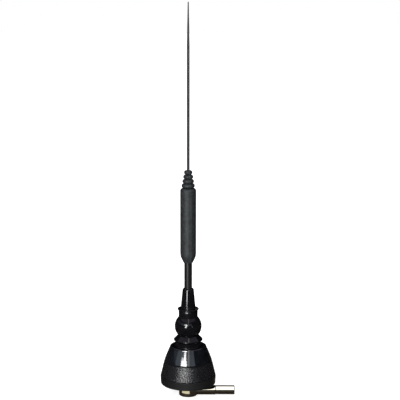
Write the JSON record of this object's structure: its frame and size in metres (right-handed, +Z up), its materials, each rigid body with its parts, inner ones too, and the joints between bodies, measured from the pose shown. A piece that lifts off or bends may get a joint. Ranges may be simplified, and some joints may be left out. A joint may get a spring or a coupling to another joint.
{
  "type": "dual-band roof antenna",
  "caption": "Whip antenna with a ribbed coil cover, on a ball that tilts and turns above a sealed cone base with a roof gasket and a right-angle coaxial connector underneath.",
  "frame": {"origin": "on the antenna's axis, on the flat underside of the roof gasket", "axes": "+Z up the mast, +X along the connector's arm and cable sleeve, -Y towards the viewer"},
  "size_m": [0.0606, 0.0452, 0.3185],
  "materials": {
    "gasket_rubber": "matt moulded EPDM rubber",
    "seal_rubber": "smooth nitrile rubber",
    "textured_skirt": "moulded with a spark-eroded grain",
    "gloss_cone": "polished moulding",
    "black_metal": "turned brass under polished black plating",
    "satin_rod": "satin black coated rod",
    "matt_cover": "finely grained dark grey moulding",
    "coated_whip": "spring steel wire, black coated",
    "nickel_plate": "bright nickel plate",
    "turned_brass": "turned brass",
    "zinc_steel": "zinc-plated steel",
    "white_insulator": "turned white fluoropolymer",
    "coil_copper": "enamelled copper wire"
  },
  "bodies": {
    "base": {"roof_gasket": "gasket_rubber", "base_skirt": "textured_skirt", "base_cone": "gloss_cone", "cone_screws": "zinc_steel", "seam_seal": "seal_rubber", "feed_insert": "turned_brass", "slip_washer": "white_insulator", "tension_bolt": "zinc_steel", "disc_spring": "zinc_steel", "ball_washer": "turned_brass", "connector_neck": "nickel_plate", "snap_ring": "zinc_steel", "hub_insulator": "white_insulator"},
    "collar": {"swivel_collar": "black_metal", "swivel_seal": "seal_rubber"},
    "mast": {"swivel_ball": "black_metal", "stud_plug": "turned_brass", "cap_collar": "black_metal", "mast_foot": "black_metal", "lower_rod": "satin_rod", "lower_ferrule": "turned_brass", "coil_former": "white_insulator", "loading_coil": "coil_copper", "upper_ferrule": "turned_brass", "coil_cover": "matt_cover", "whip": "coated_whip"},
    "connector": {"connector_body": "nickel_plate", "connector_cap": "nickel_plate", "neck_insulator": "white_insulator", "centre_contact": "turned_brass", "contact_spring": "zinc_steel", "contact_plunger": "turned_brass", "cable_sleeve": "nickel_plate"}
  },
  "joints": [
    {"name": "collar_turn", "type": "hinge", "parent": "base", "child": "collar", "pos_m": [0, 0, 0], "axis": [0, 0, 1], "continuous": true},
    {"name": "mast_tilt", "type": "hinge", "parent": "collar", "child": "mast", "pos_m": [0, 0, 0.04807], "axis": [0, 1, 0], "range_deg": [-15, 15]},
    {"name": "connector_turn", "type": "hinge", "parent": "base", "child": "connector", "pos_m": [0, 0, 0], "axis": [0, 0, 1], "continuous": true}
  ]
}
